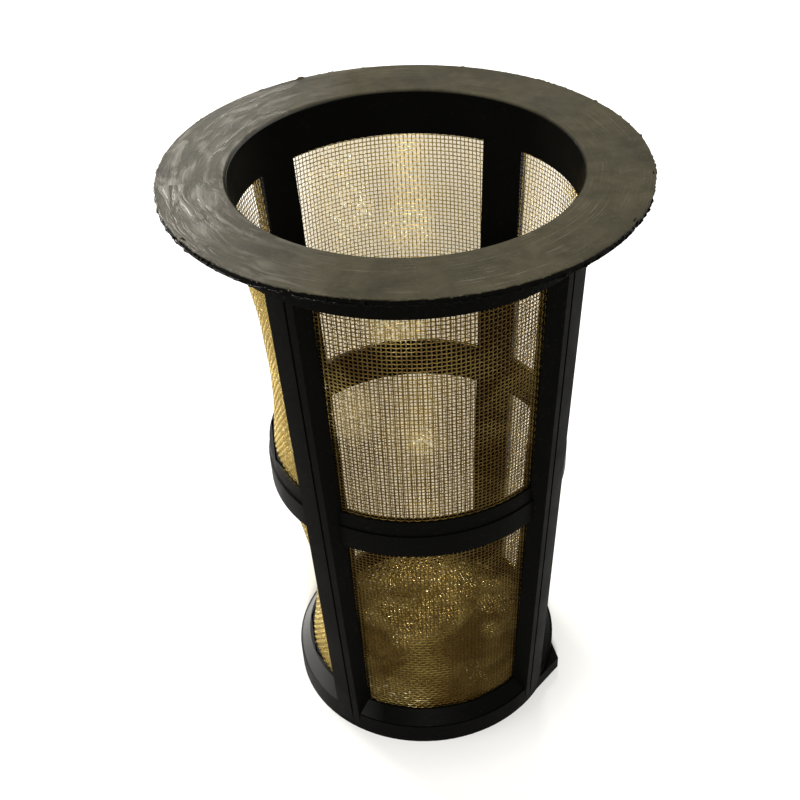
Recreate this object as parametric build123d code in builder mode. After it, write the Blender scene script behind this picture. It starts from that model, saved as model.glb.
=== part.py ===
from build123d import *
import math
import os

os.makedirs("parts", exist_ok=True)

# Fuel filler strainer: a moulded cage round a sleeve and a floor of brass wire cloth.
# Millimetres, +Z up. The origin is the centre of the foot that it stands on.

# Whole
overall_height = 101.4
flange_diameter = 70.0
flange_thickness = 1.3

# Throat, the short tube below the flange that enters the filler neck
throat_radius = 25.25
throat_depth = 7.3  # from the flange's top
throat_lead_in = 0.45
wall_depth = 3.45  # throat and ribs, from the inner face to the outer one
body_taper = 4.25  # how much the basket's radius shrinks from throat to foot

# Ribs
rib_inner_width = 7.0
rib_outer_width = 4.7
parting_groove_width = 0.4
parting_groove_depth = 0.2
parting_groove_inset = 1.3  # from the edge of the rib's outer face

# Hoops
hoop_face_height = 4.1
hoop_ledge = 0.25  # step at the top of the outer face
hoop_top_rise = 2.7  # from that step the hoop slopes in to the cloth
hoop_lip = 0.1  # plastic left outside the cloth at the very top
middle_hoop_bottom = 48.0
middle_hoop_radius = 25.05
foot_hoop_radius = 24.5

# Wire cloth
cloth_cover = 0.35  # plastic between the inner face and the cloth
cloth_wall = 0.3
ridge_height = 0.12
ridge_width = 0.5
cloth_bar = 1.4  # strip of cloth left between two gaps
gap_columns = 3  # in each window, above the middle hoop and below it
gap_rows = 5
sleeve_seat = 3.0  # how far the sleeve runs up into the throat's wall
floor_height = 3.0  # underside of the floor above the foot
floor_grip = 0.8  # how far the floor reaches past the sleeve into the foot hoop
floor_rim = 0.6  # plain edge of the floor inside the hoop
floor_gap_rows = 7

# Nicks in the rim from use, and a sliver of flash that the mould left on the foot
nick_depth = 0.45
nick_width = 1.0
rim_nick_angles = (206.0, 321.0, 344.0)  # round +Z from +X
flash_start_angle = -41.0
flash_peak_angle = -26.0
flash_end_angle = -18.0
flash_reach = 1.8
flash_height = 2.6

# Worked out from the sizes above
flange_radius = flange_diameter / 2
flange_underside = overall_height - flange_thickness
throat_end = overall_height - throat_depth
collar_radius = throat_radius + wall_depth
hoop_height = hoop_face_height + hoop_top_rise
sleeve_bottom = floor_height + cloth_wall
sleeve_top = throat_end + sleeve_seat
cloth_half = cloth_wall / 2
ridge_reach = cloth_half + ridge_height  # from the middle of the cloth to a ridge's crest
rib_angles = (45, 135, 225, 315)
window_angles = (0, 90, 180, 270)
bays = ((hoop_height, middle_hoop_bottom), (middle_hoop_bottom + hoop_height, throat_end))


def inner_radius(z):
    return throat_radius - body_taper * (throat_end - z) / throat_end


def outer_radius(z):
    return inner_radius(z) + wall_depth


def rib_half_width(depth):
    # A rib is wider at its inner face than outside, so that the mould lets go of it.
    return (rib_inner_width + (rib_outer_width - rib_inner_width) * depth / wall_depth) / 2


def level_plane(angle, z):
    # Local X points outwards at this angle round the axis.
    return Plane(origin=(0, 0, z), x_dir=Vector(1, 0, 0).rotate(Axis.Z, angle), z_dir=(0, 0, 1))


def upright_plane(angle):
    # Faces outwards at this angle round the axis, with local Y upwards.
    sideways = Vector(0, 1, 0).rotate(Axis.Z, angle)
    return Plane(origin=(0, 0, 0), x_dir=sideways, z_dir=Vector(1, 0, 0).rotate(Axis.Z, angle))


def radial_plane(angle):
    # Runs through the axis at this angle, with local X outwards and local Y upwards.
    outwards = Vector(1, 0, 0).rotate(Axis.Z, angle)
    return Plane(origin=(0, 0, 0), x_dir=outwards, z_dir=Vector(0, -1, 0).rotate(Axis.Z, angle))


def section(*points):
    # A face to turn round the axis, from corners given as radius and height
    with BuildSketch(Plane.XZ) as outline:
        with BuildLine():
            Polyline(*points, close=True)
        make_face()
    return outline.sketch


# Ribs: tapered blanks, trimmed to the basket's inner and outer cones
blank_overrun = 1.0
with BuildPart() as ribs:
    for angle in rib_angles:
        for end in (0, throat_end):
            inside = inner_radius(end) - blank_overrun
            outside = outer_radius(end) + blank_overrun
            wide = rib_half_width(-blank_overrun)
            narrow = rib_half_width(wall_depth + blank_overrun)
            with BuildSketch(level_plane(angle, end)):
                with BuildLine():
                    corners = ((inside, -wide), (outside, -narrow), (outside, narrow), (inside, wide))
                    Polyline(*corners, close=True)
                make_face()
        loft(ruled=True)
    basket_wall = section(
        (inner_radius(0), 0),
        (outer_radius(0), 0),
        (outer_radius(throat_end), throat_end),
        (inner_radius(throat_end), throat_end),
    )
    revolve(basket_wall, axis=Axis.Z, mode=Mode.INTERSECT)

    # The mould's parting line shows down each rib, beside the windows that face -Y and +Y.
    groove_offset = rib_outer_width / 2 - parting_groove_inset
    for angle, side in zip(rib_angles, (1, -1, 1, -1)):
        for end in (0, throat_end):
            with BuildSketch(level_plane(angle, end)):
                with Locations((outer_radius(end), side * groove_offset)):
                    Rectangle(2 * parting_groove_depth, parting_groove_width)
        loft(ruled=True, mode=Mode.SUBTRACT)

# Sleeve of wire cloth as it lies in the moulding, ridged but still without its gaps. It is rolled in
# flats: one for each column of gaps and one behind each rib.
column_span = 90 - 2 * math.degrees(math.asin(rib_half_width(0) / inner_radius(hoop_height)))
column_pitch = column_span / gap_columns
fold_angles = [
    window + column_pitch * (n - gap_columns / 2) for window in window_angles for n in range(gap_columns + 1)
]
rib_flat_half = math.radians((90 - column_span) / 2)


def fold_radius(z):
    # Middle of the cloth's thickness at the folds, so that the flats behind the ribs keep their cover
    return (inner_radius(z) + cloth_cover + ridge_reach) / math.cos(rib_flat_half)


def flats(z, offset):
    # Outline of the rolled cloth at this height, moved outwards by the offset
    corners = [Vector(fold_radius(z) + offset, 0).rotate(Axis.Z, angle) for angle in fold_angles]
    with BuildSketch(Plane.XY.offset(z)) as outline:
        with BuildLine():
            Polyline(*[(corner.X, corner.Y) for corner in corners], close=True)
        make_face()
    return outline.sketch


with BuildPart() as sleeve_blank:
    loft([flats(end, cloth_half) for end in (sleeve_bottom, sleeve_top)], ruled=True)
    # Level ridges stand outside the wall, one between each two rows of gaps.
    level_ridges = []
    for low, high in bays:
        for n in range(1, gap_rows):
            level_ridges.append(flats(low + (high - low) * n / gap_rows, ridge_reach).face())
    extrude(level_ridges, amount=ridge_width / 2, both=True)
    loft([flats(end, -cloth_half) for end in (sleeve_bottom, sleeve_top)], ruled=True, mode=Mode.SUBTRACT)
    # Upright ridges stand inside it, one between each two columns.
    for window in window_angles:
        for n in range(1, gap_columns):
            with BuildSketch(radial_plane(window + column_pitch * (n - gap_columns / 2))):
                with BuildLine():
                    Polyline(
                        (fold_radius(sleeve_bottom) - ridge_reach, sleeve_bottom),
                        (fold_radius(sleeve_bottom), sleeve_bottom),
                        (fold_radius(sleeve_top), sleeve_top),
                        (fold_radius(sleeve_top) - ridge_reach, sleeve_top),
                        close=True,
                    )
                make_face()
    extrude(amount=ridge_width / 2, both=True)

with BuildPart() as screen_sleeve:
    add(sleeve_blank.part)
    half_flat = math.sin(math.radians(column_pitch / 2))
    for window in window_angles:
        for n in range(gap_columns):
            with BuildSketch(upright_plane(window + column_pitch * (n - (gap_columns - 1) / 2))):
                for low, high in bays:
                    pitch = (high - low) / gap_rows
                    for row in range(gap_rows):
                        middle = low + pitch * (row + 0.5)
                        width = 2 * fold_radius(middle) * half_flat - cloth_bar
                        with Locations((0, middle)):
                            Rectangle(width, pitch - cloth_bar)
    extrude(amount=flange_radius, mode=Mode.SUBTRACT)

# Floor: a round of the same cloth, gripped in the foot hoop
floor_radius = fold_radius(sleeve_bottom) + cloth_half + floor_grip
floor_clear = inner_radius(floor_height) - floor_rim
floor_pitch = 2 * floor_clear / floor_gap_rows
floor_gap = floor_pitch - cloth_bar
floor_lines = [floor_pitch * (n - floor_gap_rows / 2) for n in range(1, floor_gap_rows)]
floor_middles = [floor_pitch * (n - (floor_gap_rows - 1) / 2) for n in range(floor_gap_rows)]
with BuildPart() as screen_floor:
    with BuildSketch(Plane.XY.offset(floor_height)):
        Circle(floor_radius)
    extrude(amount=cloth_wall)
    for line in floor_lines:
        length = 2 * math.sqrt(floor_clear**2 - line**2)
        with BuildSketch(Plane.XY.offset(floor_height - ridge_height)):
            with Locations((0, line)):
                Rectangle(length, ridge_width)
        extrude(amount=ridge_reach)
        with BuildSketch(Plane.XY.offset(floor_height + cloth_half)):
            with Locations((line, 0)):
                Rectangle(ridge_width, length)
        extrude(amount=ridge_reach)
    with BuildSketch(Plane.XY.offset(floor_height)):
        for x in floor_middles:
            for y in floor_middles:
                if math.hypot(abs(x) + floor_gap / 2, abs(y) + floor_gap / 2) < floor_clear:
                    with Locations((x, y)):
                        Rectangle(floor_gap, floor_gap)
    extrude(amount=cloth_wall, mode=Mode.SUBTRACT)


def hoop_section(bottom, radius):
    ledge = bottom + hoop_face_height
    top = bottom + hoop_height
    return section(
        (inner_radius(bottom), bottom),
        (radius, bottom),
        (radius, ledge),
        (radius - hoop_ledge, ledge),
        (fold_radius(top) + cloth_half + hoop_lip, top),
        (inner_radius(top), top),
    )


# Cage: flange, throat, ribs and hoops in one moulding, with a seat for the cloth
with BuildPart() as cage:
    neck = section(
        (throat_radius, throat_end),
        (collar_radius, throat_end),
        (collar_radius, flange_underside),
        (flange_radius, flange_underside),
        (flange_radius, overall_height),
        (throat_radius + throat_lead_in, overall_height),
        (throat_radius, overall_height - throat_lead_in),
    )
    revolve(neck, axis=Axis.Z)
    revolve(hoop_section(middle_hoop_bottom, middle_hoop_radius), axis=Axis.Z)
    revolve(hoop_section(0, foot_hoop_radius), axis=Axis.Z)
    add(ribs.part)

    flash_root = foot_hoop_radius - flash_reach
    flash_corners = (
        (flash_root, flash_start_angle),
        (foot_hoop_radius, flash_start_angle),
        (foot_hoop_radius + flash_reach, flash_peak_angle),
        (foot_hoop_radius, flash_end_angle),
        (flash_root, flash_end_angle),
    )
    with BuildSketch():
        with BuildLine():
            Polyline(*[Vector(reach, 0).rotate(Axis.Z, angle) for reach, angle in flash_corners], close=True)
        make_face()
    extrude(amount=flash_height)

    with BuildSketch(Plane.XY.offset(flange_underside)):
        for angle in rim_nick_angles:
            with Locations(Vector(flange_radius, 0).rotate(Axis.Z, angle)):
                Rectangle(2 * nick_depth, nick_width, rotation=angle)
    extrude(amount=flange_thickness, mode=Mode.SUBTRACT)
    add(sleeve_blank.part, mode=Mode.SUBTRACT)
    with BuildSketch(Plane.XY.offset(floor_height)):
        Circle(floor_radius)
    extrude(amount=cloth_wall, mode=Mode.SUBTRACT)

cage.part.label = "cage"
screen_sleeve.part.label = "screen_sleeve"
screen_floor.part.label = "screen_floor"
export_step(cage.part, "parts/cage.step")
export_step(screen_sleeve.part, "parts/screen_sleeve.step")
export_step(screen_floor.part, "parts/screen_floor.step")
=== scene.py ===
import math

import bmesh
import bpy
import numpy
from mathutils import Matrix, Vector


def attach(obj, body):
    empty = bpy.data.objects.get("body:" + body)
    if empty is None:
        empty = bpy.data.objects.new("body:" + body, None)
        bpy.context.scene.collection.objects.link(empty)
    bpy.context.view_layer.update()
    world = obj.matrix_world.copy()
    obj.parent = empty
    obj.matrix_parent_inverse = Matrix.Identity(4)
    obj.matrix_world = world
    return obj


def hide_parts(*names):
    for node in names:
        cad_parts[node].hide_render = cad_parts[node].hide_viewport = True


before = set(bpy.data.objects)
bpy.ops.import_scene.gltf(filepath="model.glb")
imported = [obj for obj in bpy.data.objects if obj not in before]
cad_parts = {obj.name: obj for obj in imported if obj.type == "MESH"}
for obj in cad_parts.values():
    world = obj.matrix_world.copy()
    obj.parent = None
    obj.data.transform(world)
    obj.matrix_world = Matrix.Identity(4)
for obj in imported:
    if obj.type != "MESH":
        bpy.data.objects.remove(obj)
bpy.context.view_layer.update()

scene = bpy.context.scene
mm = 0.001
print("frame loaded:", sorted(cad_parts))


# camera: stands in front of the object and above it, looking down into the mouth
camera = {
    "place": (-19.87 * mm, -155.08 * mm, 178.45 * mm),
    "heading": 10.089,  # degrees from +Y towards +X
    "pitch": 41.752,  # degrees below level
    "roll": -0.697,
    "lens": 53.478,
    "sensor": 36.0,
    "shift": (-0.080, 0.115),
}


def addCamera():
    data = bpy.data.cameras.new("photoCamera")
    data.lens = camera["lens"]
    data.sensor_width = camera["sensor"]
    data.shift_x, data.shift_y = camera["shift"]
    data.clip_start = 0.01
    cam = bpy.data.objects.new("photoCamera", data)
    turn = Matrix.Rotation(-math.radians(camera["heading"]), 4, "Z")
    tilt = Matrix.Rotation(math.radians(90 - camera["pitch"]), 4, "X")
    roll = Matrix.Rotation(math.radians(camera["roll"]), 4, "Z")
    cam.matrix_world = Matrix.Translation(camera["place"]) @ turn @ tilt @ roll
    scene.collection.objects.link(cam)
    scene.camera = cam


addCamera()
print("camera placed")


# helpers for node trees, shader and geometry alike
def calc(tree, operation, *values, clamp=False):
    node = tree.nodes.new("ShaderNodeMath")
    node.operation = operation
    node.use_clamp = clamp
    feed(tree, node, *values)
    return node.outputs[0]


def feed(tree, node, *values):
    for socket, value in zip(node.inputs, values):
        if value is None:
            continue
        if isinstance(value, bpy.types.NodeSocket):
            tree.links.new(value, socket)
        else:
            socket.default_value = value


def remap(tree, value, low, high, newLow=0.0, newHigh=1.0):
    node = tree.nodes.new("ShaderNodeMapRange")
    feed(tree, node, value, low, high, newLow, newHigh)
    return node.outputs[0]


def noise(tree, vector, scale, detail=3.0, roughness=0.55, distortion=0.0):
    node = tree.nodes.new("ShaderNodeTexNoise")
    tree.links.new(vector, node.inputs["Vector"])
    node.inputs["Scale"].default_value = scale
    node.inputs["Detail"].default_value = detail
    node.inputs["Roughness"].default_value = roughness
    node.inputs["Distortion"].default_value = distortion
    return node.outputs[0]


def joinVector(tree, x, y, z):
    node = tree.nodes.new("ShaderNodeCombineXYZ")
    feed(tree, node, x, y, z)
    return node.outputs[0]


def splitVector(tree, vector):
    node = tree.nodes.new("ShaderNodeSeparateXYZ")
    tree.links.new(vector, node.inputs[0])
    return node.outputs


def mixColour(tree, factor, first, second, blend="MIX"):
    node = tree.nodes.new("ShaderNodeMix")
    node.data_type = "RGBA"
    node.blend_type = blend
    for socket, value in ((node.inputs[0], factor), (node.inputs[6], first), (node.inputs[7], second)):
        if isinstance(value, bpy.types.NodeSocket):
            tree.links.new(value, socket)
        else:
            socket.default_value = value
    return node.outputs[2]


def bump(tree, height, strength, distance, normal=None):
    node = tree.nodes.new("ShaderNodeBump")
    node.inputs["Strength"].default_value = strength
    node.inputs["Distance"].default_value = distance
    tree.links.new(height, node.inputs["Height"])
    if normal:
        tree.links.new(normal, node.inputs["Normal"])
    return node.outputs[0]


# grime: a group both finishes use, patches and specks in millimetre coordinates
def makeGrimeGroup():
    tree = bpy.data.node_groups.new("grime", "ShaderNodeTree")
    tree.interface.new_socket("Millimetres", in_out="INPUT", socket_type="NodeSocketVector")
    for name, value in (("Patch Scale", 0.12), ("Speck Scale", 2.5), ("Speck Cut", 0.62)):
        socket = tree.interface.new_socket(name, in_out="INPUT", socket_type="NodeSocketFloat")
        socket.default_value = value
    tree.interface.new_socket("Patches", in_out="OUTPUT", socket_type="NodeSocketFloat")
    tree.interface.new_socket("Specks", in_out="OUTPUT", socket_type="NodeSocketFloat")
    source = tree.nodes.new("NodeGroupInput")
    sink = tree.nodes.new("NodeGroupOutput")
    patches = noise(tree, source.outputs["Millimetres"], 1.0, detail=5.0, distortion=0.6)
    tree.links.new(source.outputs["Patch Scale"], patches.node.inputs["Scale"])
    specks = noise(tree, source.outputs["Millimetres"], 1.0, detail=2.0)
    tree.links.new(source.outputs["Speck Scale"], specks.node.inputs["Scale"])
    above = calc(tree, "SUBTRACT", specks, source.outputs["Speck Cut"])
    tree.links.new(remap(tree, patches, 0.35, 0.7), sink.inputs["Patches"])
    tree.links.new(calc(tree, "MULTIPLY", above, 12.0, clamp=True), sink.inputs["Specks"])
    return tree


grimeGroup = makeGrimeGroup()


def addGrime(tree, coords, patchScale, speckScale, speckCut):
    node = tree.nodes.new("ShaderNodeGroup")
    node.node_tree = grimeGroup
    feed(tree, node, coords, patchScale, speckScale, speckCut)
    return node.outputs["Patches"], node.outputs["Specks"]


def startMaterial(name):
    material = bpy.data.materials.new(name)
    material.use_nodes = True
    tree = material.node_tree
    shader = tree.nodes["Principled BSDF"]
    coords = tree.nodes.new("ShaderNodeTexCoord")
    scaled = tree.nodes.new("ShaderNodeVectorMath")
    scaled.operation = "SCALE"
    tree.links.new(coords.outputs["Object"], scaled.inputs[0])
    scaled.inputs["Scale"].default_value = 1 / mm
    return material, tree, shader, scaled.outputs[0]


# black moulded plastic, dull and scuffed on the flange's face, smooth on ribs and hoops; the face's lighter colour is
# partly scuffing and partly painted sheen of light on the top face
plastic = {
    "smooth": (0.0013, 0.0013, 0.0010, 1),
    # painted sheen: the flange's top face is given this lighter colour, partly for scuffing and partly for the light it
    # catches
    "scuffedAndSheen": (0.080, 0.072, 0.046, 1),
    # dust and scratches, and also painted highlight on the smears of the lamp-lit side
    "dustAndSheenColour": (0.20, 0.18, 0.14, 1),
    "smoothRoughness": 0.40,
    "scuffedRoughness": 0.50,
    "specular": 0.012,
    "coatRoughness": 0.22,
    "faceShine": 1.0,  # how much the wrinkled side of the face shines
    "slopeShine": 0.9,  # the same for the hoops' sloping tops on that side
    "wrinkledSide": 172.0,  # degrees round +Z from +X; the side the lamps light, where the smears get a painted highlight
}


def makePlastic():
    material, tree, shader, place = startMaterial("blackPlastic")
    x, y, z = splitVector(tree, place)
    radius = calc(tree, "SQRT", calc(tree, "ADD", calc(tree, "MULTIPLY", x, x), calc(tree, "MULTIPLY", y, y)))
    angle = calc(tree, "ARCTAN2", y, x)
    onFace = remap(tree, z, 101.0, 101.35)  # the flange's upper face
    patches, specks = addGrime(tree, place, 0.11, 2.2, 0.62)
    # fine scratches run round the flange
    turned = joinVector(tree, calc(tree, "MULTIPLY", radius, 4.0), calc(tree, "MULTIPLY", angle, 2.5), 0.0)
    rings = noise(tree, turned, 1.0, detail=4.0, roughness=0.7)
    ringLines = calc(tree, "MULTIPLY", remap(tree, rings, 0.56, 0.68), remap(tree, patches, 0.1, 0.8))
    # smeared wrinkles on the lamp-lit side of the face: bump and gloss, and a lighter colour there that is painted
    # highlight
    side = math.radians(plastic["wrinkledSide"])
    sideways = calc(tree, "ADD", calc(tree, "MULTIPLY", x, math.cos(side)), calc(tree, "MULTIPLY", y, math.sin(side)))
    wrinkled = calc(tree, "MULTIPLY", onFace, remap(tree, sideways, 8.0, 28.0))
    stretched = joinVector(tree, calc(tree, "MULTIPLY", radius, 0.62), calc(tree, "MULTIPLY", angle, 4.5), 0.0)
    wrinkles = noise(tree, stretched, 1.0, detail=3.5, roughness=0.55, distortion=0.7)
    broad = noise(tree, joinVector(tree, calc(tree, "MULTIPLY", radius, 0.22), calc(tree, "MULTIPLY", angle, 2.2), 0.0), 1.0, detail=2.0)
    smears = calc(tree, "MULTIPLY", remap(tree, wrinkles, 0.46, 0.60), remap(tree, broad, 0.36, 0.54))
    mottle = noise(tree, place, 0.3, detail=3.0, roughness=0.6)
    worn = calc(tree, "ADD", remap(tree, patches, 0.0, 1.0, 0.60, 0.85), remap(tree, mottle, 0.35, 0.65, -0.08, 0.16))
    # painted sheen and scuffing: how much of the face's lighter colour shows
    faceWearAndSheen = calc(tree, "MULTIPLY", onFace, worn)
    colour = mixColour(tree, faceWearAndSheen, plastic["smooth"], plastic["scuffedAndSheen"])
    dustAndSheen = calc(tree, "MULTIPLY", calc(tree, "MULTIPLY", onFace, ringLines), 0.55)
    dustAndSheen = calc(tree, "MAXIMUM", dustAndSheen, calc(tree, "MULTIPLY", calc(tree, "MULTIPLY", onFace, specks), 0.14))
    # the smears on the lamp-lit side take this colour as painted highlight
    dustAndSheen = calc(tree, "MAXIMUM", dustAndSheen, calc(tree, "MULTIPLY", calc(tree, "MULTIPLY", smears, wrinkled), 0.75))
    tree.links.new(mixColour(tree, dustAndSheen, colour, plastic["dustAndSheenColour"]), shader.inputs["Base Color"])
    low, high = plastic["smoothRoughness"], plastic["scuffedRoughness"]
    rough = remap(tree, patches, 0.0, 1.0, low - 0.06, low + 0.08)
    faceRough = remap(tree, patches, 0.0, 1.0, high - 0.14, high + 0.10)
    offFace = calc(tree, "SUBTRACT", 1.0, onFace)
    rough = calc(tree, "ADD", calc(tree, "MULTIPLY", rough, offFace), calc(tree, "MULTIPLY", faceRough, onFace))
    tree.links.new(rough, shader.inputs["Roughness"])
    shader.inputs["Specular IOR Level"].default_value = plastic["specular"]
    shine = calc(tree, "MULTIPLY", wrinkled, remap(tree, smears, 0.0, 1.0, 0.6, plastic["faceShine"]))
    shine = calc(tree, "MAXIMUM", shine, calc(tree, "MULTIPLY", calc(tree, "MULTIPLY", ringLines, onFace), 0.25))
    shine = calc(tree, "MAXIMUM", shine, calc(tree, "MULTIPLY", calc(tree, "MULTIPLY", specks, offFace), 0.08))
    normalX, normalY, normalZ = splitVector(tree, tree.nodes.new("ShaderNodeNewGeometry").outputs["Normal"])
    slopes = calc(tree, "MULTIPLY", remap(tree, normalZ, 0.2, 0.5), remap(tree, sideways, 8.0, 20.0))
    shine = calc(tree, "MAXIMUM", shine, calc(tree, "MULTIPLY", calc(tree, "MULTIPLY", slopes, offFace), plastic["slopeShine"]))
    tree.links.new(shine, shader.inputs["Coat Weight"])
    shader.inputs["Coat Roughness"].default_value = plastic["coatRoughness"]
    grain = noise(tree, place, 1.6, detail=5.0, roughness=0.6)
    relief = calc(tree, "ADD", calc(tree, "MULTIPLY", calc(tree, "MULTIPLY", wrinkles, wrinkled), 4.0),
                  calc(tree, "MULTIPLY", calc(tree, "MULTIPLY", rings, onFace), 0.5))
    height = calc(tree, "ADD", calc(tree, "MULTIPLY", grain, 0.12), relief)
    bumped = bump(tree, height, 0.6, 0.12 * mm)
    tree.links.new(bumped, shader.inputs["Normal"])
    tree.links.new(bumped, shader.inputs["Coat Normal"])
    return material


# brass wire: each cloth has its own level of tarnish and painted shade, set per cloth by the side of the basket it is
# on, and its own painted glints, kept in attributes of its mesh
brass = {
    "bright": (0.46, 0.34, 0.10, 1),
    # tarnished brass, also standing for painted shade where a cloth's level is high
    "tarnishedAndShaded": (0.068, 0.039, 0.008, 1),
    # painted glint: a pale colour that stands for sparkles of light off the wires
    "paintedGlint": (1.0, 0.90, 0.56, 1),
    "brightRoughness": 0.24,
    "tarnishedRoughness": 0.44,
    "metallic": 1.0,
    "glintPolish": 0.22,  # how much smoother the glinting specks are
    "paintedGlintLift": 0.75,  # how much lighter the colour is where the painted glints are
}


def makeBrass():
    material, tree, shader, place = startMaterial("brassWire")
    patches, specks = addGrime(tree, place, 0.13, 1.3, 0.56)
    level = tree.nodes.new("ShaderNodeAttribute")
    level.attribute_name = "tarnishAndShade"
    paintedGlints = tree.nodes.new("ShaderNodeAttribute")
    paintedGlints.attribute_name = "paintedGlints"
    uneven = calc(tree, "MULTIPLY", calc(tree, "SUBTRACT", patches, 0.5), 0.30)
    paintedGlintLift = calc(tree, "MULTIPLY", paintedGlints.outputs["Fac"], brass["paintedGlintLift"])
    tarnishAndShade = calc(tree, "SUBTRACT", calc(tree, "ADD", level.outputs["Fac"], uneven), paintedGlintLift, clamp=True)
    colour = mixColour(tree, tarnishAndShade, brass["bright"], brass["tarnishedAndShaded"])
    # specks in the glint spots: painted highlight colour, and smoother wire too
    paintedGlintSpecks = calc(tree, "MULTIPLY", specks, paintedGlints.outputs["Fac"], clamp=True)
    tree.links.new(mixColour(tree, paintedGlintSpecks, colour, brass["paintedGlint"]), shader.inputs["Base Color"])
    rough = remap(tree, tarnishAndShade, 0.0, 1.0, brass["brightRoughness"], brass["tarnishedRoughness"])
    rough = calc(tree, "SUBTRACT", rough, calc(tree, "MULTIPLY", paintedGlintSpecks, brass["glintPolish"]), clamp=True)
    tree.links.new(rough, shader.inputs["Roughness"])
    shader.inputs["Metallic"].default_value = brass["metallic"]
    drawn = noise(tree, place, 9.0, detail=2.0)
    facets = calc(tree, "MULTIPLY", noise(tree, place, 1.1, detail=1.0), paintedGlints.outputs["Fac"])
    uneven = calc(tree, "ADD", calc(tree, "MULTIPLY", drawn, 0.02), calc(tree, "MULTIPLY", facets, 1.2))
    tree.links.new(bump(tree, uneven, 0.5, 1.0 * mm), shader.inputs["Normal"])
    return material


plasticMaterial = makePlastic()
brassMaterial = makeBrass()
for name, material in (("cage", plasticMaterial), ("screen_sleeve", brassMaterial), ("screen_floor", brassMaterial)):
    for index in range(max(1, len(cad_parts[name].data.materials))):
        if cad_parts[name].data.materials:
            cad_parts[name].data.materials[index] = material
        else:
            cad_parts[name].data.materials.append(material)
print("finishes ready")


# wire cloth: a square grid is parted into wires that run each way, woven, then laid on the basket or its floor
basket = {
    "throatRadius": 25.25 * mm,  # inner face of the plastic at the throat's lower end
    "throatEnd": 94.1 * mm,
    "taper": 4.25 * mm,  # how much smaller that radius is at the foot
    "clothDepth": 0.62 * mm,  # middle of the cloth behind the inner face
}
weave = {
    "pitch": 0.67 * mm,
    "wire": 0.19 * mm,
    "seed": 7.0,
}


def clothRadius(z):
    shrink = basket["taper"] * (basket["throatEnd"] - z) / basket["throatEnd"]
    return basket["throatRadius"] - shrink + basket["clothDepth"]


def startGeometryTree(name, inputs):
    tree = bpy.data.node_groups.new(name, "GeometryNodeTree")
    tree.interface.new_socket("Geometry", in_out="INPUT", socket_type="NodeSocketGeometry")
    for inputName, kind in inputs:
        tree.interface.new_socket(inputName, in_out="INPUT", socket_type=kind)
    tree.interface.new_socket("Geometry", in_out="OUTPUT", socket_type="NodeSocketGeometry")
    return tree, tree.nodes.new("NodeGroupInput").outputs, tree.nodes.new("NodeGroupOutput")


def addNode(tree, kind, **settings):
    node = tree.nodes.new(kind)
    for name, value in settings.items():
        setattr(node, name, value)
    return node


def finishTree(tree, geometry, materialSocket, sink):
    realize = addNode(tree, "GeometryNodeRealizeInstances")
    tree.links.new(geometry, realize.inputs[0])
    paint = addNode(tree, "GeometryNodeSetMaterial")
    tree.links.new(realize.outputs[0], paint.inputs["Geometry"])
    tree.links.new(materialSocket, paint.inputs["Material"])
    tree.links.new(paint.outputs[0], sink.inputs[0])


floats = "NodeSocketFloat"
clothInputs = [
    ("Width", floats), ("Length", floats), ("Pitch", floats), ("Wire", floats), ("Seed", floats),
    ("Round", floats), ("Middle Angle", floats), ("Low Z", floats), ("Low Radius", floats), ("High Radius", floats),
    ("Bulge", floats), ("Wrinkle", floats), ("Wrinkle Scale", floats), ("Material", "NodeSocketMaterial"),
]


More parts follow.
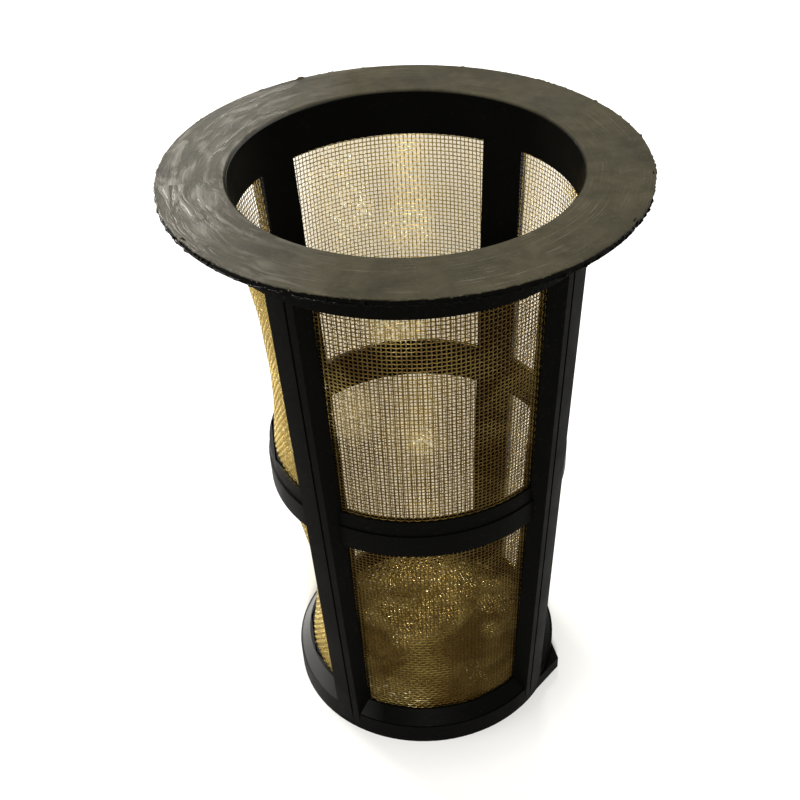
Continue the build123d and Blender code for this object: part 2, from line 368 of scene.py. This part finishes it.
def makeClothTree():
    tree, inputs, sink = startGeometryTree("wovenCloth", clothInputs)
    columns = calc(tree, "ADD", calc(tree, "ROUND", calc(tree, "DIVIDE", inputs["Width"], inputs["Pitch"])), 1.0)
    rows = calc(tree, "ADD", calc(tree, "ROUND", calc(tree, "DIVIDE", inputs["Length"], inputs["Pitch"])), 1.0)
    grid = addNode(tree, "GeometryNodeMeshGrid")
    feed(tree, grid, inputs["Width"], inputs["Length"], columns, rows)
    here = addNode(tree, "GeometryNodeInputPosition").outputs[0]
    x, y, z = splitVector(tree, here)
    # a round cloth keeps only what lies within its radius
    outside = addNode(tree, "FunctionNodeCompare", data_type="FLOAT", operation="GREATER_THAN")
    reach = calc(tree, "SQRT", calc(tree, "ADD", calc(tree, "MULTIPLY", x, x), calc(tree, "MULTIPLY", y, y)))
    limit = calc(tree, "ADD", calc(tree, "MULTIPLY", inputs["Width"], 0.5),
                 calc(tree, "MULTIPLY", calc(tree, "SUBTRACT", 1.0, inputs["Round"]), 1.0))
    feed(tree, outside, reach, limit)
    trim = addNode(tree, "GeometryNodeDeleteGeometry", domain="POINT")
    tree.links.new(grid.outputs[0], trim.inputs["Geometry"])
    tree.links.new(outside.outputs[0], trim.inputs["Selection"])
    # over and under: neighbours on the grid go opposite ways
    column = calc(tree, "ROUND", calc(tree, "DIVIDE", calc(tree, "ADD", x, calc(tree, "MULTIPLY", inputs["Width"], 0.5)), inputs["Pitch"]))
    row = calc(tree, "ROUND", calc(tree, "DIVIDE", calc(tree, "ADD", y, calc(tree, "MULTIPLY", inputs["Length"], 0.5)), inputs["Pitch"]))
    odd = calc(tree, "FLOORED_MODULO", calc(tree, "ADD", column, row), 2.0)
    lift = calc(tree, "MULTIPLY", calc(tree, "SUBTRACT", calc(tree, "MULTIPLY", odd, 2.0), 1.0),
                calc(tree, "MULTIPLY", inputs["Wire"], 0.5))
    ends = addNode(tree, "GeometryNodeInputMeshEdgeVertices")
    gap = addNode(tree, "ShaderNodeVectorMath", operation="SUBTRACT")
    feed(tree, gap, ends.outputs["Position 1"], ends.outputs["Position 2"])
    gapX, gapY, gapZ = splitVector(tree, gap.outputs[0])
    runsAcross = addNode(tree, "FunctionNodeCompare", data_type="FLOAT", operation="GREATER_THAN")
    feed(tree, runsAcross, calc(tree, "ABSOLUTE", gapX), calc(tree, "ABSOLUTE", gapY))
    part = addNode(tree, "GeometryNodeSeparateGeometry", domain="EDGE")
    tree.links.new(trim.outputs[0], part.inputs["Geometry"])
    tree.links.new(runsAcross.outputs[0], part.inputs["Selection"])
    # place on the cone, or flat for a round cloth
    share = calc(tree, "ADD", calc(tree, "DIVIDE", y, inputs["Length"]), 0.5)
    sideShare = calc(tree, "DIVIDE", calc(tree, "MULTIPLY", x, 2.0), inputs["Width"])
    fadeX = calc(tree, "SUBTRACT", 1.0, calc(tree, "MULTIPLY", sideShare, sideShare), clamp=True)
    fadeY = calc(tree, "MULTIPLY", calc(tree, "MULTIPLY", share, calc(tree, "SUBTRACT", 1.0, share)), 4.0, clamp=True)
    fadeRound = calc(tree, "SUBTRACT", 1.0, calc(tree, "POWER", calc(tree, "DIVIDE", reach, limit), 6.0), clamp=True)
    fadeBoth = calc(tree, "MULTIPLY", fadeX, fadeY)
    fade = calc(tree, "ADD", calc(tree, "MULTIPLY", fadeRound, inputs["Round"]),
                calc(tree, "MULTIPLY", fadeBoth, calc(tree, "SUBTRACT", 1.0, inputs["Round"])))
    sample = joinVector(tree, x, y, inputs["Seed"])
    ruffle = noise(tree, sample, 1.0, detail=2.5, roughness=0.5, distortion=0.8)
    tree.links.new(inputs["Wrinkle Scale"], ruffle.node.inputs["Scale"])
    ruffle = calc(tree, "MULTIPLY", calc(tree, "SUBTRACT", ruffle, 0.5), calc(tree, "MULTIPLY", inputs["Wrinkle"], 2.0))
    wavy = calc(tree, "MULTIPLY", calc(tree, "ADD", ruffle, inputs["Bulge"]), fade)
    wires = []
    for socket, sign in ((part.outputs["Selection"], 1.0), (part.outputs["Inverted"], -1.0)):
        curve = addNode(tree, "GeometryNodeMeshToCurve")
        tree.links.new(socket, curve.inputs["Mesh"])
        depth = calc(tree, "ADD", calc(tree, "MULTIPLY", lift, sign), wavy)
        base = calc(tree, "ADD", inputs["Low Radius"], calc(tree, "MULTIPLY", share, calc(tree, "SUBTRACT", inputs["High Radius"], inputs["Low Radius"])))
        radius = calc(tree, "ADD", base, depth)
        turn = calc(tree, "ADD", calc(tree, "DIVIDE", x, calc(tree, "MAXIMUM", base, 0.001)), inputs["Middle Angle"])
        coneX = calc(tree, "MULTIPLY", radius, calc(tree, "COSINE", turn))
        coneY = calc(tree, "MULTIPLY", radius, calc(tree, "SINE", turn))
        coneZ = calc(tree, "ADD", calc(tree, "MULTIPLY", share, inputs["Length"]), inputs["Low Z"])
        onCone = joinVector(tree, coneX, coneY, coneZ)
        flatX = calc(tree, "SUBTRACT", calc(tree, "MULTIPLY", x, calc(tree, "COSINE", inputs["Middle Angle"])),
                     calc(tree, "MULTIPLY", y, calc(tree, "SINE", inputs["Middle Angle"])))
        flatY = calc(tree, "ADD", calc(tree, "MULTIPLY", x, calc(tree, "SINE", inputs["Middle Angle"])),
                     calc(tree, "MULTIPLY", y, calc(tree, "COSINE", inputs["Middle Angle"])))
        onFlat = joinVector(tree, flatX, flatY, calc(tree, "ADD", depth, inputs["Low Z"]))
        pick = addNode(tree, "ShaderNodeMix", data_type="VECTOR")
        tree.links.new(inputs["Round"], pick.inputs[0])
        tree.links.new(onCone, pick.inputs[4])
        tree.links.new(onFlat, pick.inputs[5])
        lay = addNode(tree, "GeometryNodeSetPosition")
        tree.links.new(curve.outputs[0], lay.inputs["Geometry"])
        tree.links.new(pick.outputs[1], lay.inputs["Position"])
        ring = addNode(tree, "GeometryNodeCurvePrimitiveCircle")
        ring.inputs["Resolution"].default_value = 4
        tree.links.new(calc(tree, "MULTIPLY", inputs["Wire"], 0.5), ring.inputs["Radius"])
        tube = addNode(tree, "GeometryNodeCurveToMesh")
        tree.links.new(lay.outputs[0], tube.inputs["Curve"])
        tree.links.new(ring.outputs[0], tube.inputs["Profile Curve"])
        tube.inputs["Fill Caps"].default_value = True
        wires.append(tube.outputs[0])
    join = addNode(tree, "GeometryNodeJoinGeometry")
    for wire in wires:
        tree.links.new(wire, join.inputs[0])
    smooth = addNode(tree, "GeometryNodeSetShadeSmooth")
    tree.links.new(join.outputs[0], smooth.inputs[0])
    finishTree(tree, smooth.outputs[0], inputs["Material"], sink)
    return tree


clothTree = makeClothTree()


def bakeTree(name, tree, settings):
    # a modifier runs the tree once, then the result is kept as a plain mesh
    seed = bpy.data.meshes.new(name + "Seed")
    carrier = bpy.data.objects.new(name + "Carrier", seed)
    scene.collection.objects.link(carrier)
    modifier = carrier.modifiers.new("grow", "NODES")
    modifier.node_group = tree
    for item in tree.interface.items_tree:
        if item.in_out == "INPUT" and item.name in settings:
            modifier[item.identifier] = settings[item.name]
    bpy.context.view_layer.update()
    result = carrier.evaluated_get(bpy.context.evaluated_depsgraph_get())
    mesh = bpy.data.meshes.new_from_object(result)
    mesh.name = name
    carrier.modifiers.remove(modifier)
    bpy.data.objects.remove(carrier)
    bpy.data.meshes.remove(seed)
    return mesh


def spotLevels(mesh, base, spots):
    # a level for each vertex: the base, raised round each spot (x, y, z, reach, level, all but the last in mm)
    points = numpy.empty(len(mesh.vertices) * 3)
    mesh.vertices.foreach_get("co", points)
    points = points.reshape(-1, 3) / mm
    levels = numpy.full(len(points), base)
    for x, y, z, reach, level in spots:
        nearness = 1 - numpy.linalg.norm(points - (x, y, z), axis=1) / reach
        levels = numpy.maximum(levels, numpy.clip(nearness * 2, 0, 1) * level)
    return levels


def joinMeshes(name, meshes, material, tarnishAndShade=None, paintedGlints=None, spots=()):
    whole = bmesh.new()
    for mesh in meshes:
        whole.from_mesh(mesh)
    joined = bpy.data.meshes.new(name)
    whole.to_mesh(joined)
    whole.free()
    joined.materials.append(material)
    joined.polygons.foreach_set("material_index", [0] * len(joined.polygons))
    for mesh in meshes:
        bpy.data.meshes.remove(mesh)
    if tarnishAndShade is not None:
        for attribute, base, places in (("tarnishAndShade", tarnishAndShade, ()), ("paintedGlints", paintedGlints, spots)):
            layer = joined.attributes.new(attribute, "FLOAT", "POINT")
            layer.data.foreach_set("value", spotLevels(joined, base, places))
    piece = bpy.data.objects.new(name, joined)
    scene.collection.objects.link(piece)
    return piece


windows = {
    # degrees round +Z from +X, how far the upper and the lower cloth stand out, tarnish with painted shade (the front
    # cloth's high level is mostly painted shade), painted glints
    "clothRight": (0, 0.2 * mm, -0.3 * mm, 0.30, 0.2),
    "clothBack": (90, 0.3 * mm, 0.2 * mm, 0.30, 0.05),
    "clothLeft": (180, -2.0 * mm, -3.0 * mm, 0.42, 0.2),
    "clothFront": (270, 0.2 * mm, 0.1 * mm, 0.97, 0.0),
}
# painted glints: spots where the cloth's colour is lifted to stand for sparkles of light
paintedGlintSpots = {
    # x, y, z, reach, level
    "clothRight": ((22, 10, 72, 9, 0.5), (20, 9, 30, 12, 0.6)),
    "clothBack": ((-9, 24, 91, 7, 0.8), (-7, 24, 82, 6, 0.8), (2.5, 25, 78, 6, 0.3), (-6, 23.6, 60, 8, 0.4)),
    "clothLeft": ((-25, -4, 30, 14, 0.4),),
    "clothFront": ((-14, -20.5, 76, 7, 0.5), (-5.5, -25, 91, 5, 0.35), (-2.5, -24.7, 71, 3, 0.4), (-9, -20, 9, 7, 0.3)),
}
bays = {"lower": (5.4 * mm, 48.4 * mm), "upper": (52.8 * mm, 94.6 * mm)}
windowHalfAngle = math.radians(37.0)
tuckedIn = 0.5 * mm  # how far the wires run on into the plastic


def addWindowCloth(name, middle, upperBulge, lowerBulge, tarnishAndShade, paintedGlints):
    meshes = []
    for index, (bay, bulge) in enumerate((("lower", lowerBulge), ("upper", upperBulge))):
        low, high = bays[bay]
        width = 2 * (clothRadius(high) * windowHalfAngle + tuckedIn)
        columns = round(width / weave["pitch"])
        rows = round((high - low) / weave["pitch"])
        settings = {
            "Width": columns * weave["pitch"], "Length": rows * weave["pitch"], "Pitch": weave["pitch"],
            "Wire": weave["wire"], "Seed": weave["seed"] + middle + 3.0 * index, "Round": 0.0,
            "Middle Angle": math.radians(middle), "Low Z": low, "Low Radius": clothRadius(low),
            "High Radius": clothRadius(low + rows * weave["pitch"]), "Bulge": bulge, "Wrinkle": 0.35 * mm,
            "Wrinkle Scale": 110.0, "Material": brassMaterial,
        }
        meshes.append(bakeTree(name + bay, clothTree, settings))
    piece = joinMeshes(name, meshes, brassMaterial, tarnishAndShade, paintedGlints, paintedGlintSpots[name])
    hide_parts("screen_sleeve")
    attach(piece, "root")
    print(name, "triangles", sum(len(p.vertices) - 2 for p in piece.data.polygons))
    return piece


for name, values in windows.items():
    addWindowCloth(name, *values)


floorCloth = {
    "radius": 22.3 * mm,
    "height": 3.15 * mm,
    "wire": 0.36 * mm,
    "turned": 14.0,  # degrees between the wires and the windows
    "wrinkle": 1.2 * mm,
    "wrinkleScale": 120.0,
    # tarnish with painted shade: the floor cloth is kept this dark for the shade inside the basket
    "tarnishAndShade": 0.97,
    "paintedGlints": 0.0,
    # x, y, z, reach, level: painted glints over the sparkling half behind the crease, and a run of painted dots of
    # light on the right
    "spots": ((-5, 19, 3, 9, 1.0), (2, 17, 3, 9, 1.0), (7, 12, 3, 8, 1.0), (4, 6, 3, 7, 1.0), (-2, 3, 3, 7, 1.0),
              (-8, 6, 3, 5, 0.9), (-4, -1, 3, 4, 0.9), (16.4, 16, 3, 3.5, 1.0), (15, 10, 3, 3, 1.0),
              (13.6, 4, 3, 3, 1.0), (12.2, -3, 3, 2.5, 1.0), (17, 3, 3, 4, 0.8), (7, -13, 3, 4, 0.35)),
}


def addFloorCloth():
    wide = 2 * round(floorCloth["radius"] / weave["pitch"]) * weave["pitch"]
    settings = {
        "Width": wide, "Length": wide, "Pitch": weave["pitch"], "Wire": floorCloth["wire"], "Seed": weave["seed"],
        "Round": 1.0, "Middle Angle": math.radians(floorCloth["turned"]), "Low Z": floorCloth["height"],
        "Low Radius": 0.02, "High Radius": 0.02, "Bulge": 0.0, "Wrinkle": floorCloth["wrinkle"],
        "Wrinkle Scale": floorCloth["wrinkleScale"], "Material": brassMaterial,
    }
    piece = joinMeshes("clothFloor", [bakeTree("clothFloorWires", clothTree, settings)], brassMaterial,
                       floorCloth["tarnishAndShade"], floorCloth["paintedGlints"], floorCloth["spots"])
    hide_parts("screen_floor")
    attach(piece, "root")
    print("clothFloor triangles", sum(len(p.vertices) - 2 for p in piece.data.polygons))


addFloorCloth()
print("cloth woven")


# rim: the moulding's ragged edge, a thin uneven bead along both edges of the flange, and crumbs stuck to it
rim = {
    "radius": 34.92 * mm,
    "edges": (101.22 * mm, 100.28 * mm),
    "bead": 0.22 * mm,
    "ragged": 0.42 * mm,
    "grain": 700.0,
    "seed": 3.0,
    "crumbs": 230,
    "crumbSize": 0.42 * mm,
}


def makeBeadTree():
    names = [(n, floats) for n in ("Radius", "Height", "Bead", "Ragged", "Grain", "Seed")]
    tree, inputs, sink = startGeometryTree("raggedBead", names + [("Material", "NodeSocketMaterial")])
    circle = addNode(tree, "GeometryNodeCurvePrimitiveCircle")
    circle.inputs["Resolution"].default_value = 1400
    tree.links.new(inputs["Radius"], circle.inputs["Radius"])
    x, y, z = splitVector(tree, addNode(tree, "GeometryNodeInputPosition").outputs[0])
    reach = calc(tree, "SQRT", calc(tree, "ADD", calc(tree, "MULTIPLY", x, x), calc(tree, "MULTIPLY", y, y)))
    where = joinVector(tree, x, y, calc(tree, "MULTIPLY", inputs["Seed"], 0.1))
    rough = noise(tree, where, 1.0, detail=3.0, roughness=0.6)
    tree.links.new(inputs["Grain"], rough.node.inputs["Scale"])
    spells = noise(tree, where, 60.0, detail=1.0)
    ragged = calc(tree, "MULTIPLY", inputs["Ragged"], remap(tree, spells, 0.42, 0.6, 0.5, 2.0))
    swing = calc(tree, "MULTIPLY", calc(tree, "SUBTRACT", rough, 0.52), ragged)
    other = noise(tree, joinVector(tree, y, x, calc(tree, "MULTIPLY", inputs["Seed"], 0.3)), 450.0, detail=2.0)
    bob = calc(tree, "MULTIPLY", calc(tree, "SUBTRACT", other, 0.5), ragged)
    grow = calc(tree, "ADD", 1.0, calc(tree, "DIVIDE", swing, reach))
    moved = joinVector(tree, calc(tree, "MULTIPLY", x, grow), calc(tree, "MULTIPLY", y, grow),
                       calc(tree, "ADD", inputs["Height"], bob))
    lay = addNode(tree, "GeometryNodeSetPosition")
    tree.links.new(circle.outputs[0], lay.inputs["Geometry"])
    tree.links.new(moved, lay.inputs["Position"])
    swell = addNode(tree, "GeometryNodeSetCurveRadius")
    tree.links.new(lay.outputs[0], swell.inputs[0])
    tree.links.new(remap(tree, rough, 0.35, 0.72, 0.45, 1.35), swell.inputs["Radius"])
    ring = addNode(tree, "GeometryNodeCurvePrimitiveCircle")
    ring.inputs["Resolution"].default_value = 6
    tree.links.new(inputs["Bead"], ring.inputs["Radius"])
    tube = addNode(tree, "GeometryNodeCurveToMesh")
    tree.links.new(swell.outputs[0], tube.inputs["Curve"])
    tree.links.new(ring.outputs[0], tube.inputs["Profile Curve"])
    if "Scale" in tube.inputs:
        radiusNode = addNode(tree, "GeometryNodeInputRadius")
        tree.links.new(radiusNode.outputs[0], tube.inputs["Scale"])
    smooth = addNode(tree, "GeometryNodeSetShadeSmooth")
    tree.links.new(tube.outputs[0], smooth.inputs[0])
    finishTree(tree, smooth.outputs[0], inputs["Material"], sink)
    return tree


def makeCrumbTree():
    names = [(n, floats) for n in ("Radius", "Low", "High", "Size", "Seed")]
    tree, inputs, sink = startGeometryTree("rimCrumbs", [("Count", "NodeSocketInt")] + names + [("Material", "NodeSocketMaterial")])
    circle = addNode(tree, "GeometryNodeCurvePrimitiveCircle")
    circle.inputs["Resolution"].default_value = 720
    tree.links.new(inputs["Radius"], circle.inputs["Radius"])
    points = addNode(tree, "GeometryNodeCurveToPoints", mode="COUNT")
    tree.links.new(circle.outputs[0], points.inputs["Curve"])
    tree.links.new(inputs["Count"], points.inputs["Count"])
    shift = addNode(tree, "FunctionNodeRandomValue", data_type="FLOAT_VECTOR")
    shift.inputs[0].default_value = (-0.00025, -0.00025, 0)
    shift.inputs[1].default_value = (0.00025, 0.00025, 0)
    shift.inputs["Seed"].default_value = 4
    lift = addNode(tree, "FunctionNodeRandomValue", data_type="FLOAT")
    tree.links.new(inputs["Low"], lift.inputs[2])
    tree.links.new(inputs["High"], lift.inputs[3])
    lift.inputs["Seed"].default_value = 9
    offset = addNode(tree, "ShaderNodeVectorMath", operation="ADD")
    tree.links.new(shift.outputs[0], offset.inputs[0])
    tree.links.new(joinVector(tree, 0.0, 0.0, lift.outputs[1]), offset.inputs[1])
    lay = addNode(tree, "GeometryNodeSetPosition")
    tree.links.new(points.outputs[0], lay.inputs["Geometry"])
    tree.links.new(offset.outputs[0], lay.inputs["Offset"])
    # crumbs gather in runs along the rim
    x, y, z = splitVector(tree, addNode(tree, "GeometryNodeInputPosition").outputs[0])
    runs = noise(tree, joinVector(tree, x, y, calc(tree, "MULTIPLY", inputs["Seed"], 0.1)), 70.0, detail=1.0)
    keep = addNode(tree, "FunctionNodeCompare", data_type="FLOAT", operation="GREATER_THAN")
    feed(tree, keep, runs, 0.5)
    ball = addNode(tree, "GeometryNodeMeshIcoSphere")
    ball.inputs["Radius"].default_value = 1.0
    ball.inputs["Subdivisions"].default_value = 2
    place = addNode(tree, "GeometryNodeInstanceOnPoints")
    tree.links.new(lay.outputs[0], place.inputs["Points"])
    tree.links.new(keep.outputs[0], place.inputs["Selection"])
    tree.links.new(ball.outputs[0], place.inputs["Instance"])
    turn = addNode(tree, "FunctionNodeRandomValue", data_type="FLOAT_VECTOR")
    turn.inputs[1].default_value = (6.28, 6.28, 6.28)
    tree.links.new(turn.outputs[0], place.inputs["Rotation"])
    size = addNode(tree, "FunctionNodeRandomValue", data_type="FLOAT_VECTOR")
    size.inputs[0].default_value = (0.25, 0.25, 0.25)
    size.inputs[1].default_value = (1.0, 0.7, 0.6)
    scaled = addNode(tree, "ShaderNodeVectorMath", operation="SCALE")
    tree.links.new(size.outputs[0], scaled.inputs[0])
    tree.links.new(inputs["Size"], scaled.inputs["Scale"])
    tree.links.new(scaled.outputs[0], place.inputs["Scale"])
    finishTree(tree, place.outputs[0], inputs["Material"], sink)
    return tree


def addRim():
    beadTree = makeBeadTree()
    meshes = []
    for index, height in enumerate(rim["edges"]):
        settings = {"Radius": rim["radius"], "Height": height, "Bead": rim["bead"], "Ragged": rim["ragged"],
                    "Grain": rim["grain"], "Seed": rim["seed"] + index, "Material": plasticMaterial}
        meshes.append(bakeTree("rimBead", beadTree, settings))
    crumbs = {"Count": rim["crumbs"], "Radius": rim["radius"], "Low": rim["edges"][1], "High": rim["edges"][0],
              "Size": rim["crumbSize"], "Seed": rim["seed"], "Material": plasticMaterial}
    meshes.append(bakeTree("rimCrumbs", makeCrumbTree(), crumbs))
    piece = joinMeshes("rimFlash", meshes, plasticMaterial)
    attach(piece, "root")


addRim()
print("rim roughened")


# floor and light
stage = {
    "floorSize": 3.0,
    "floorColour": (0.93, 0.93, 0.92, 1),
    "floorGlow": 0.17,
    "paintedShadowColour": (0.60, 0.55, 0.44, 1),  # painted shadow: the darker colour given to the ground behind the basket, seen through its cloth
    "paintedUnderShadeColour": (0.20, 0.15, 0.06, 1),  # painted shade: the ground under the basket is given this dark colour
    "worldLevel": 0.36,
    "keyFrom": (-0.15, -0.96, 0.54),  # under the camera, so the shadow falls behind the basket
    "keyStrength": 3.4,
    "keySpread": 12.0,  # degrees
}
lamps = {
    # place, edge length, watts, colour
    "leftBackLamp": ((-0.42, 0.72, 0.52), 0.34, 5.5, (1.0, 0.95, 0.88)),
    "backLamp": ((0.20, 0.90, 0.85), 0.12, 2.2, (1.0, 0.97, 0.90)),
    "leftLamp": ((-0.70, -0.05, 0.40), 0.40, 1.4, (1.0, 0.97, 0.92)),
}


def addFloor():
    half = stage["floorSize"] / 2
    mesh = bpy.data.meshes.new("floor")
    mesh.from_pydata([(-half, -half, 0), (half, -half, 0), (half, half, 0), (-half, half, 0)], [], [(0, 1, 2, 3)])
    floor = bpy.data.objects.new("floor", mesh)
    scene.collection.objects.link(floor)
    material, tree, shader, place = startMaterial("paleFloor")
    x, y, z = splitVector(tree, place)
    # painted shadow: the floor's colour darkens in a soft patch behind the basket, where the ground is seen through its
    # cloth
    off = calc(tree, "ABSOLUTE", calc(tree, "SUBTRACT", x, calc(tree, "SUBTRACT", calc(tree, "MULTIPLY", y, 0.17), 2.0)))
    wide = calc(tree, "DIVIDE", off, calc(tree, "ADD", calc(tree, "MULTIPLY", y, 0.13), 24.0))
    paintedShadow = calc(tree, "MULTIPLY", remap(tree, wide, 0.7, 1.0, 1.0, 0.0), remap(tree, y, 0.0, 20.0))
    paintedShadow = calc(tree, "MULTIPLY", paintedShadow, remap(tree, y, 226.0, 246.0, 1.0, 0.0))
    mottle = calc(tree, "MULTIPLY", noise(tree, place, 0.02), 0.02)
    pale = mixColour(tree, mottle, stage["floorColour"], (0.8, 0.8, 0.8, 1))
    reach = calc(tree, "SQRT", calc(tree, "ADD", calc(tree, "MULTIPLY", x, x), calc(tree, "MULTIPLY", y, y)))
    # painted shade under the basket: the floor's colour turns dark within the foot
    under = remap(tree, reach, 19.0, 24.5, 1.0, 0.0)
    shaded = mixColour(tree, paintedShadow, pale, stage["paintedShadowColour"])
    tree.links.new(mixColour(tree, under, shaded, stage["paintedUnderShadeColour"]), shader.inputs["Base Color"])
    shader.inputs["Roughness"].default_value = 0.9
    shader.inputs["Specular IOR Level"].default_value = 0.0
    shader.inputs["Emission Color"].default_value = (1, 1, 1, 1)
    path = tree.nodes.new("ShaderNodeLightPath")
    seen = calc(tree, "ADD", calc(tree, "ADD", path.outputs["Is Camera Ray"], path.outputs["Is Glossy Ray"]),
                path.outputs["Is Transmission Ray"], clamp=True)
    clear = remap(tree, reach, 22.0, 34.0)  # no glow under the basket
    # the glow stays off the painted shadow too
    clear = calc(tree, "MULTIPLY", clear, calc(tree, "SUBTRACT", 1.0, paintedShadow))
    glow = calc(tree, "MULTIPLY", calc(tree, "MULTIPLY", seen, clear), stage["floorGlow"])
    tree.links.new(glow, shader.inputs["Emission Strength"])
    mesh.materials.append(material)


def addWorld():
    world = bpy.data.worlds.new("studio")
    scene.world = world
    world.use_nodes = True
    tree = world.node_tree
    background = tree.nodes["Background"]
    background.inputs["Color"].default_value = (1, 1, 1, 1)
    path = tree.nodes.new("ShaderNodeLightPath")
    seen = calc(tree, "ADD", calc(tree, "ADD", path.outputs["Is Camera Ray"], path.outputs["Is Glossy Ray"]),
                path.outputs["Is Transmission Ray"], clamp=True)
    tree.links.new(remap(tree, seen, 0.0, 1.0, stage["worldLevel"], 1.0), background.inputs["Strength"])


def addLamps():
    target = Vector((0, 0, 0.05))
    for name, (place, size, watts, colour) in lamps.items():
        data = bpy.data.lights.new(name, "AREA")
        data.shape = "SQUARE"
        data.size = size
        data.energy = watts
        data.color = colour
        lamp = bpy.data.objects.new(name, data)
        lamp.location = place
        lamp.rotation_euler = (target - Vector(place)).to_track_quat("-Z", "Y").to_euler()
        scene.collection.objects.link(lamp)
    sun = bpy.data.lights.new("keyLight", "SUN")
    sun.energy = stage["keyStrength"]
    sun.angle = math.radians(stage["keySpread"])
    sun.color = (1.0, 0.98, 0.95)
    key = bpy.data.objects.new("keyLight", sun)
    key.location = stage["keyFrom"]
    key.rotation_euler = (-Vector(stage["keyFrom"])).to_track_quat("-Z", "Y").to_euler()
    scene.collection.objects.link(key)


addFloor()
addWorld()
addLamps()
scene.view_settings.view_transform = "Standard"
print("floor and light set")
